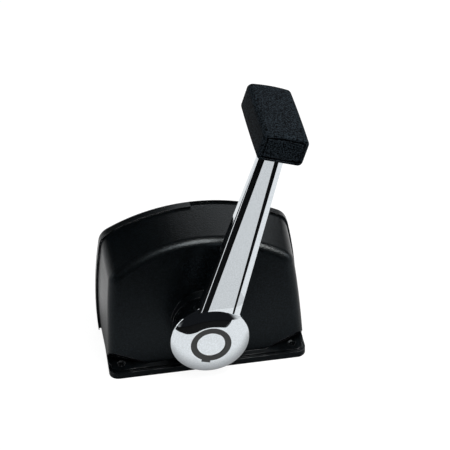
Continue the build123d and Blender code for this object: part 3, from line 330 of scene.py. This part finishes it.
def makeEdgeWearAndHighlightGroup():
    # 1 along edges, broken up by noise: rubbed wear on most finishes, and a painted highlight on the
    #                                    housing's and the grip's edges
    group, entry, leave = newGroup("edgeWearAndHighlight", {"Radius": wornEdgeAndHighlight["radius"], "Breakup": wornEdgeAndHighlight["breakup"]},
                                   {"Mask": "NodeSocketFloat"})
    place = addNode(group, "ShaderNodeTexCoord")
    geometry = addNode(group, "ShaderNodeNewGeometry")
    rounded = addNode(group, "ShaderNodeBevel", {"Radius": entry.outputs["Radius"]},
                      samples=wornEdgeAndHighlight["samples"])
    same = addNode(group, "ShaderNodeVectorMath", {0: geometry.outputs["Normal"], 1: rounded.outputs[0]},
                   operation="DOT_PRODUCT")
    edge = addNode(group, "ShaderNodeMapRange",
                   {"Value": same.outputs["Value"], "From Min": wornEdgeAndHighlight["facingStart"],
                    "From Max": wornEdgeAndHighlight["facingEnd"]})
    noise = addNode(group, "ShaderNodeTexNoise",
                    {"Vector": place.outputs["Object"], "Scale": entry.outputs["Breakup"],
                     "Detail": wornEdgeAndHighlight["detail"]})
    brokenUp = addNode(group, "ShaderNodeMapRange",
                   {"Value": noise.outputs["Fac"], "From Min": wornEdgeAndHighlight["breakupLow"],
                    "From Max": wornEdgeAndHighlight["breakupHigh"]})
    mask = addNode(group, "ShaderNodeMath", {0: edge.outputs[0], 1: brokenUp.outputs[0]},
                   operation="MULTIPLY")
    group.links.new(mask.outputs[0], leave.inputs["Mask"])
    return group


grainGroup = makeGrainGroup()
edgeWearAndHighlightGroup = makeEdgeWearAndHighlightGroup()


def placeGroup(tree, group, **values):
    node = tree.nodes.new("ShaderNodeGroup")
    node.node_tree = group
    for key, value in values.items():
        node.inputs[key].default_value = value
    return node


# one finish for each material slot, and three for the pieces that the scene adds
finishes = {
    # the housing's and the grip's edge colours are painted highlights, far lighter than their plastic
    "housing_black": {"color": (0.0007, 0.0011, 0.0014), "wornEdgeAndHighlight": (0.16, 0.165, 0.17),
                      "rough": (0.27, 0.32), "metal": 0.0, "grain": 800.0, "bump": 0.0001,
                      "specular": 0.14, "speckle": 2.6, "tint": (0.76, 0.9, 1.0)},
    "chrome": {"color": (0.63, 0.67, 0.70), "wornEdgeAndHighlight": (0.85, 0.87, 0.89),
               "rough": (0.03, 0.07), "metal": 1.0, "grain": 900.0, "bump": 0.000002,
               "speckle": 0.05},
    "ring_grey": {"color": (0.004, 0.006, 0.0065), "wornEdgeAndHighlight": (0.1, 0.1, 0.1),
                  "rough": (0.38, 0.45), "metal": 0.0, "grain": 1500.0, "bump": 0.00001},
    "grip_soft": {"color": (0.0072, 0.0098, 0.0122), "wornEdgeAndHighlight": (0.02, 0.023, 0.026),
                  "rough": (0.46, 0.52), "metal": 0.0, "grain": 820.0, "bump": 0.00006,
                  "specular": 0.005, "speckle": 1.0, "tint": (0.66, 0.86, 1.0)},
    "inlay_black": {"color": (0.0022, 0.0030, 0.0036), "wornEdgeAndHighlight": (0.006, 0.006, 0.007),
                    "rough": (0.4, 0.45), "metal": 0.0, "grain": 300.0, "bump": 0.000002,
                    "specular": 0.04},
    "drum_black": {"color": (0.0018, 0.0025, 0.0031), "wornEdgeAndHighlight": (0.012, 0.013, 0.015),
                   "rough": (0.1, 0.16), "metal": 0.0, "grain": 900.0, "bump": 0.000004,
                   "specular": 0.3},
    "core_plastic": {"color": (0.09, 0.09, 0.1), "wornEdgeAndHighlight": (0.15, 0.15, 0.15),
                     "rough": (0.42, 0.5), "metal": 0.0, "grain": 1200.0, "bump": 0.00001},
    "zinc_steel": {"color": (0.55, 0.56, 0.57), "wornEdgeAndHighlight": (0.7, 0.7, 0.7),
                   "rough": (0.28, 0.42), "metal": 1.0, "grain": 700.0, "bump": 0.000008},
    "shaft_steel": {"color": (0.46, 0.46, 0.47), "wornEdgeAndHighlight": (0.7, 0.7, 0.7),
                    "rough": (0.2, 0.3), "metal": 1.0, "grain": 900.0, "bump": 0.000006},
    "gear_alloy": {"color": (0.58, 0.58, 0.56), "wornEdgeAndHighlight": (0.75, 0.75, 0.73),
                   "rough": (0.4, 0.52), "metal": 1.0, "grain": 800.0, "bump": 0.00002},
    "bronze": {"color": (0.5, 0.34, 0.15), "wornEdgeAndHighlight": (0.7, 0.5, 0.25),
               "rough": (0.36, 0.48), "metal": 1.0, "grain": 1000.0, "bump": 0.00001},
    "seal_rubber": {"color": (0.012, 0.012, 0.012), "wornEdgeAndHighlight": (0.03, 0.03, 0.03),
                    "rough": (0.6, 0.7), "metal": 0.0, "grain": 900.0, "bump": 0.00002},
    "switch_case": {"color": (0.22, 0.02, 0.015), "wornEdgeAndHighlight": (0.3, 0.08, 0.06),
                    "rough": (0.34, 0.42), "metal": 0.0, "grain": 1200.0, "bump": 0.00001},
    "brass_terminal": {"color": (0.72, 0.53, 0.24), "wornEdgeAndHighlight": (0.85, 0.7, 0.4),
                       "rough": (0.22, 0.32), "metal": 1.0, "grain": 900.0, "bump": 0.000005},
}


def addBlend(tree, share, first, second, blend="MIX"):
    # sockets 0, 6, 7 and 2 are the factor, the two colours and the result
    node = tree.nodes.new("ShaderNodeMix")
    node.data_type = "RGBA"
    node.blend_type = blend
    for index, value in ((0, share), (6, first), (7, second)):
        if isinstance(value, bpy.types.NodeSocket):
            tree.links.new(value, node.inputs[index])
        else:
            node.inputs[index].default_value = value
    return node.outputs[2]


def makeFinish(slot):
    values = finishes[slot]
    material, tree, output = newMaterial(slot)
    surface = placeGroup(tree, grainGroup, Size=values["grain"])
    edge = placeGroup(tree, edgeWearAndHighlightGroup)
    shader = addNode(tree, "ShaderNodeBsdfPrincipled",
                     {"Metallic": values["metal"], "Specular IOR Level": values.get("specular", 0.5),
                      "Specular Tint": (*values.get("tint", (1, 1, 1)), 1)})
    spread = values.get("speckle", 0.15)
    dark = tuple(max(part * (1 - spread), 0) for part in values["color"])
    light = tuple(min(part * (1 + spread), 1) for part in values["color"])
    color = addBlend(tree, surface.outputs["Speckle"], (*dark, 1), (*light, 1))
    # edges take the edge colour: rubbed wear on most finishes, a painted highlight on the housing and
    # the grip
    color = addBlend(tree, edge.outputs["Mask"], color, (*values["wornEdgeAndHighlight"], 1))
    low, high = values["rough"]
    rough = addNode(tree, "ShaderNodeMapRange",
                    {"Value": surface.outputs["Shade"], "From Min": grain["shadeLow"],
                     "From Max": grain["shadeHigh"], "To Min": low, "To Max": high})
    bump = addNode(tree, "ShaderNodeBump",
                   {"Height": surface.outputs["Height"], "Strength": 1.0, "Distance": values["bump"]})
    tree.links.new(color, shader.inputs["Base Color"])
    tree.links.new(rough.outputs[0], shader.inputs["Roughness"])
    tree.links.new(bump.outputs[0], shader.inputs["Normal"])
    tree.links.new(shader.outputs[0], output.inputs["Surface"])
    return material


materials = {slot: makeFinish(slot) for slot in finishes}


def paint(piece, slot):
    piece.data.materials.clear()
    piece.data.materials.append(materials[slot])


for row in frame["record"]["subparts"]:
    paint(nodes[row["node"]], row["material_slot"])
print("finishes made")


# sizes below are in millimetres, meshes in metres
mm = 0.001
weldGap = 0.002
spinGap = 0.01
joinGap = 0.02
axisHeight = 46.0
leverTilt = math.radians(16.5)
hubPlace = Matrix.Translation((0, 0, axisHeight * mm))
leverPlace = hubPlace @ Matrix.Rotation(leverTilt, 4, "Y")


def spinProfile(bm, profile, steps):
    # profile is (radius, y); it turns about the Y axis
    edges = []
    verts = [bm.verts.new((radius * mm, y * mm, 0)) for radius, y in profile]
    for first, second in zip(verts, verts[1:]):
        edges.append(bm.edges.new((first, second)))
    bmesh.ops.spin(bm, geom=verts + edges, cent=(0, 0, 0), axis=(0, 1, 0), angle=math.tau, steps=steps,
                   use_merge=True)
    bmesh.ops.remove_doubles(bm, verts=bm.verts, dist=spinGap * mm)


def arcPoints(start, middle, end, count):
    # points on the circle through three (radius, y) points
    ax, ay = start
    bx, by = middle
    cx, cy = end
    d = 2 * (ax * (by - cy) + bx * (cy - ay) + cx * (ay - by))
    ux = ((ax**2 + ay**2) * (by - cy) + (bx**2 + by**2) * (cy - ay) + (cx**2 + cy**2) * (ay - by)) / d
    uy = ((ax**2 + ay**2) * (cx - bx) + (bx**2 + by**2) * (ax - cx) + (cx**2 + cy**2) * (bx - ax)) / d
    radius = math.hypot(ax - ux, ay - uy)
    first = math.atan2(ay - uy, ax - ux)
    last = math.atan2(cy - uy, cx - ux)
    sweep = (last - first + math.pi) % math.tau - math.pi
    turns = [first + sweep * i / count for i in range(count + 1)]
    return [(ux + radius * math.cos(turn), uy + radius * math.sin(turn)) for turn in turns]


def roundEdges(bm, edges, width, segments):
    bmesh.ops.bevel(bm, geom=edges, offset=width * mm, offset_type="OFFSET", segments=segments,
                    profile=0.5, affect="EDGES", clamp_overlap=True, material=-1)


def bevelSharp(bm, width, segments, angle=25):
    bm.normal_update()
    sharp = [edge for edge in bm.edges
             if edge.is_manifold and edge.calc_face_angle(0) > math.radians(angle)]
    roundEdges(bm, sharp, width, segments)


def finishMesh(bm, name, smoothAngle=32):
    bmesh.ops.remove_doubles(bm, verts=bm.verts, dist=weldGap * mm)
    bmesh.ops.recalc_face_normals(bm, faces=bm.faces)
    mesh = bpy.data.meshes.new(name)
    for face in bm.faces:
        face.smooth = True
    for edge in bm.edges:
        edge.smooth = edge.is_manifold and edge.calc_face_angle(0) < math.radians(smoothAngle)
    bm.to_mesh(mesh)
    bm.free()
    return mesh


def dressed(name, bm, place, body, replaced, smoothAngle=32):
    bmesh.ops.transform(bm, matrix=place, verts=bm.verts)
    piece = addPiece(name, finishMesh(bm, name, smoothAngle))
    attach(piece, body)
    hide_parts(*replaced)
    return piece


def combine(bm, other, operation):
    # boolean of two bmeshes through the modifier, returned as a new bmesh
    first = addPiece("joinFirst", bpy.data.meshes.new("joinFirst"))
    second = addPiece("joinSecond", bpy.data.meshes.new("joinSecond"))
    for part, mesh in ((bm, first.data), (other, second.data)):
        bmesh.ops.recalc_face_normals(part, faces=part.faces)
        part.to_mesh(mesh)
        part.free()
    modifier = first.modifiers.new("join", "BOOLEAN")
    modifier.operation = operation
    modifier.solver = "EXACT"
    modifier.object = second
    depsgraph = bpy.context.evaluated_depsgraph_get()
    result = bpy.data.meshes.new_from_object(first.evaluated_get(depsgraph))
    joined = bmesh.new()
    joined.from_mesh(result)
    bpy.data.objects.remove(first)
    bpy.data.objects.remove(second)
    return joined


# the lever: hub, arm and its two black inlays
lever = {
    "ringFront": -64.0, "ringRadius": 18.2, "ringDepth": 3.0, "ringLip": 0.3,
    "domeMiddle": (28.5, -61.6), "domeSteps": 14, "rimRadius": 36.1, "rimY": -56.0,
    "rimFront": (35.3, -57.6), "rimMiddle": (35.95, -57.0), "rimSteps": 4, "backRadius": 30.5,
    "backY": -34.4, "hubSteps": 144, "notchSize": (8.1, 4.0, 12.0), "notchPlace": (0, -64.4, -14.2),
    "front": -63.5, "root": 50.0, "start": 22.0, "top": 213.5, "stationTop": 215.0, "rootHalf": 17.4,
    "topHalf": 11.1, "rootBack": -47.5, "topBack": -57.0, "leftRoot": 11.4, "leftTop": 4.9,
    "rightRoot": 9.6, "rightTop": 2.6, "grooveRoot": 2.2, "grooveTop": 4.2, "grooveDepth": 1.3,
    "bandDrop": 0.7, "edgeDrop": 2.4, "backChamfer": 2.0, "panelArc": 37.6, "arcSteps": 160,
    "arcReach": 3.0, "flareRadius": 7.0, "flareSteps": 8, "leftRim": 0.9, "rimEdge": 0.2,
    "rimLean": 0.62, "rimDrop": 1.6, "edge": 0.4, "edgeSteps": 3, "inlay": 0.25, "inlaySink": 0.1,
}
# the flare is a circle that touches the hub's rim and the arm's side
flareReach = lever["rimRadius"] + lever["flareRadius"]
flareTop = math.sqrt(flareReach**2 - (lever["rootHalf"] + lever["flareRadius"])**2)
flareFoot = flareTop * lever["rimRadius"] / flareReach


def alongArm(z, root, top):
    share = (z - lever["root"]) / (lever["stationTop"] - lever["root"])
    return lever[root] + share * (lever[top] - lever[root])


def armSizes(z):
    reach = min(max(flareTop - z, 0), flareTop - flareFoot)
    flare = lever["flareRadius"] - math.sqrt(lever["flareRadius"]**2 - reach**2)
    half = alongArm(z, "rootHalf", "topHalf") + flare
    left = -alongArm(z, "leftRoot", "leftTop")
    right = alongArm(z, "rightRoot", "rightTop")
    groove = right + alongArm(z, "grooveRoot", "grooveTop")
    return half, left, right, groove, alongArm(z, "rootBack", "topBack")


def armSection(z):
    half, left, right, groove, back = armSizes(z)
    front = lever["front"]
    floor = front + lever["grooveDepth"]
    rim = front + lever["bandDrop"]
    return [(half - lever["backChamfer"], back), (half, back - lever["backChamfer"]),
            (half, front + lever["edgeDrop"]), (groove, rim), (groove, floor), (right, floor),
            (right, front), (left, front), (left, floor), (-half + lever["leftRim"], floor),
            (-half + lever["leftRim"], rim), (-half + lever["rimEdge"], rim + lever["rimLean"]),
            (-half, front + lever["rimDrop"]), (-half, back - lever["backChamfer"]),
            (-half + lever["backChamfer"], back)]


def inlaySection(side, z):
    half, left, right, groove, back = armSizes(z)
    floor = lever["front"] + lever["grooveDepth"]
    inner, outer = (right, groove) if side > 0 else (left, -half + lever["leftRim"])
    under, top = floor + lever["inlaySink"], floor - lever["inlay"]
    return [(inner, under), (outer, under), (outer, top), (inner, top)]


def loftSections(sections):
    # sections are [(z, [(x, y), ...]), ...] with as many points each
    bm = bmesh.new()
    bottom, outline = sections[0]
    face = bm.faces.new([bm.verts.new(Vector((x, y, bottom)) * mm) for x, y in outline])
    for height, outline in sections[1:]:
        # the edges go along, so no face is left inside
        made = bmesh.ops.extrude_face_region(bm, geom=[face, *face.edges])["geom"]
        face = [part for part in made if isinstance(part, bmesh.types.BMFace)][0]
        for vert, (x, y) in zip(face.verts, outline):
            vert.co = Vector((x, y, height)) * mm
    return bm


def panelArcCutter():
    # takes the foot off the arm, so that it ends at an arc around the hub
    cutter = bmesh.new()
    front = lever["front"] - lever["arcReach"]
    spinProfile(cutter, [(0, front), (lever["panelArc"], front), (lever["panelArc"], lever["rimY"]),
                         (0, lever["rimY"])], lever["arcSteps"])
    return cutter


def makeHub():
    hub = bmesh.new()
    lip = lever["ringFront"] + lever["ringLip"]
    seat = lever["ringFront"] + lever["ringDepth"]
    dome = arcPoints((lever["ringRadius"] + lever["ringLip"], lever["ringFront"]), lever["domeMiddle"],
                     lever["rimFront"], lever["domeSteps"])
    rim = arcPoints(lever["rimFront"], lever["rimMiddle"], (lever["rimRadius"], lever["rimY"]),
                    lever["rimSteps"])
    profile = [(0, seat), (lever["ringRadius"], seat), (lever["ringRadius"], lip)]
    profile += dome + rim[1:] + [(lever["backRadius"], lever["backY"]), (0, lever["backY"])]
    spinProfile(hub, profile, lever["hubSteps"])
    return hub


def makeArm():
    step = (flareTop - flareFoot) / lever["flareSteps"]
    heights = [lever["start"]]
    heights += [flareFoot + step * i for i in range(lever["flareSteps"] + 1)]
    heights += [lever["top"]]
    arm = loftSections([(z, armSection(z)) for z in heights])
    return combine(arm, panelArcCutter(), "DIFFERENCE")


def makeLever():
    whole = combine(makeHub(), makeArm(), "UNION")
    notch = bmesh.new()
    bmesh.ops.create_cube(notch, size=1)
    bmesh.ops.scale(notch, verts=notch.verts, vec=Vector(lever["notchSize"]) * mm)
    bmesh.ops.translate(notch, verts=notch.verts, vec=Vector(lever["notchPlace"]) * mm)
    whole = combine(whole, notch, "DIFFERENCE")
    bmesh.ops.remove_doubles(whole, verts=whole.verts, dist=joinGap * mm)
    bevelSharp(whole, lever["edge"], lever["edgeSteps"])
    return dressed("leverCasting", whole, leverPlace, "lever", ["lever_arm"], smoothAngle=12)


def makeInlay(side, name):
    strip = loftSections([(z, inlaySection(side, z)) for z in (lever["start"], lever["top"])])
    strip = combine(strip, panelArcCutter(), "DIFFERENCE")
    return dressed(name, strip, leverPlace, "lever", [])


drum = {"front": (35.75, -54.8), "back": (30.65, -34.5), "thick": 0.4, "steps": 96}


def makeDrum():
    # the black drum behind the chrome face of the hub
    bm = bmesh.new()
    (frontRadius, frontY), (backRadius, backY) = drum["front"], drum["back"]
    spinProfile(bm, [(frontRadius, frontY), (backRadius, backY), (backRadius - drum["thick"], backY),
                     (frontRadius - drum["thick"], frontY), (frontRadius, frontY)], drum["steps"])
    return dressed("hubDrum", bm, leverPlace, "lever", [])


paint(makeLever(), "chrome")
paint(makeDrum(), "drum_black")
paint(makeInlay(1, "rightInlay"), "inlay_black")
paint(makeInlay(-1, "leftInlay"), "inlay_black")
print("lever made")


# the padded grip; facing values are shares of a unit normal or direction
grip = {
    "front": -82.8, "length": 83.6, "width": 41.2, "thick": 26.7, "under": 209.3, "shift": 0.9,
    "tilt": 1.7, "sideRadius": 4.2, "endRadius": 2.4, "crown": 1.5, "bulge": 0.5, "seamInset": 0.3,
    "seamWidth": 2.0, "seamDepth": 1.8, "cutsAcross": 7, "cutsAlong": 9, "cutGap": 0.001,
    "sideSteps": 6, "endSteps": 4, "cornerAngle": 60, "alongFacing": 0.9, "endFacing": 0.95,
    "capFacing": 0.999,
}


def isEnd(face):
    return abs(face.normal.y) > grip["endFacing"]


def makeGrip():
    bm = bmesh.new()
    bmesh.ops.create_cube(bm, size=1)
    sizes = Vector((grip["width"], grip["length"], grip["thick"])) * mm
    bmesh.ops.scale(bm, verts=bm.verts, vec=sizes)
    for axis, cuts in enumerate((grip["cutsAcross"], grip["cutsAlong"])):
        for i in range(1, cuts + 1):
            spot = Vector((0, 0, 0))
            spot[axis] = sizes[axis] * (i / (cuts + 1) - 0.5)
            normal = Vector((0, 0, 0))
            normal[axis] = 1
            bmesh.ops.bisect_plane(bm, geom=bm.verts[:] + bm.edges[:] + bm.faces[:], plane_co=spot,
                                   plane_no=normal, dist=grip["cutGap"] * mm)
    for vert in bm.verts:
        across = 2 * vert.co.x / sizes.x
        along = 2 * vert.co.y / sizes.y
        if vert.co.z > 0:
            vert.co.z -= grip["crown"] * mm * across**2
        vert.co.x -= grip["bulge"] * mm * math.copysign(along**2, vert.co.x) * abs(across)
    bm.normal_update()
    sides = [edge for edge in bm.edges
             if abs((edge.verts[0].co - edge.verts[1].co).normalized().y) > grip["alongFacing"]
             and edge.calc_face_angle(0) > math.radians(grip["cornerAngle"])]
    roundEdges(bm, sides, grip["sideRadius"], grip["sideSteps"])
    bm.normal_update()
    ends = [edge for edge in bm.edges if len(edge.link_faces) == 2
            and isEnd(edge.link_faces[0]) != isEnd(edge.link_faces[1])]
    roundEdges(bm, ends, grip["endRadius"], grip["endSteps"])
    bm.normal_update()
    caps = [face for face in bm.faces if abs(face.normal.y) > grip["capFacing"]]
    bmesh.ops.inset_region(bm, faces=caps, thickness=grip["seamInset"] * mm, depth=0,
                           use_even_offset=True)
    caps = [face for face in caps if face.is_valid]
    groove = bmesh.ops.inset_region(bm, faces=caps, thickness=grip["seamWidth"] * mm, depth=0,
                                    use_even_offset=True)["faces"]
    sunk = bmesh.ops.extrude_face_region(bm, geom=groove)
    bmesh.ops.delete(bm, geom=groove, context="FACES_ONLY")
    for vert in [part for part in sunk["geom"] if isinstance(part, bmesh.types.BMVert)]:
        vert.co.y -= math.copysign(grip["seamDepth"] * mm, vert.co.y)
    middle = Vector((grip["shift"], grip["front"] + grip["length"] / 2,
                     grip["under"] + grip["thick"] / 2))
    tilt = Matrix.Rotation(math.radians(grip["tilt"]), 4, "Y")
    place = leverPlace @ Matrix.Translation(middle * mm) @ tilt
    return dressed("gripCover", bm, place, "lever", ["grip"], smoothAngle=50)


paint(makeGrip(), "grip_soft")
print("grip made")
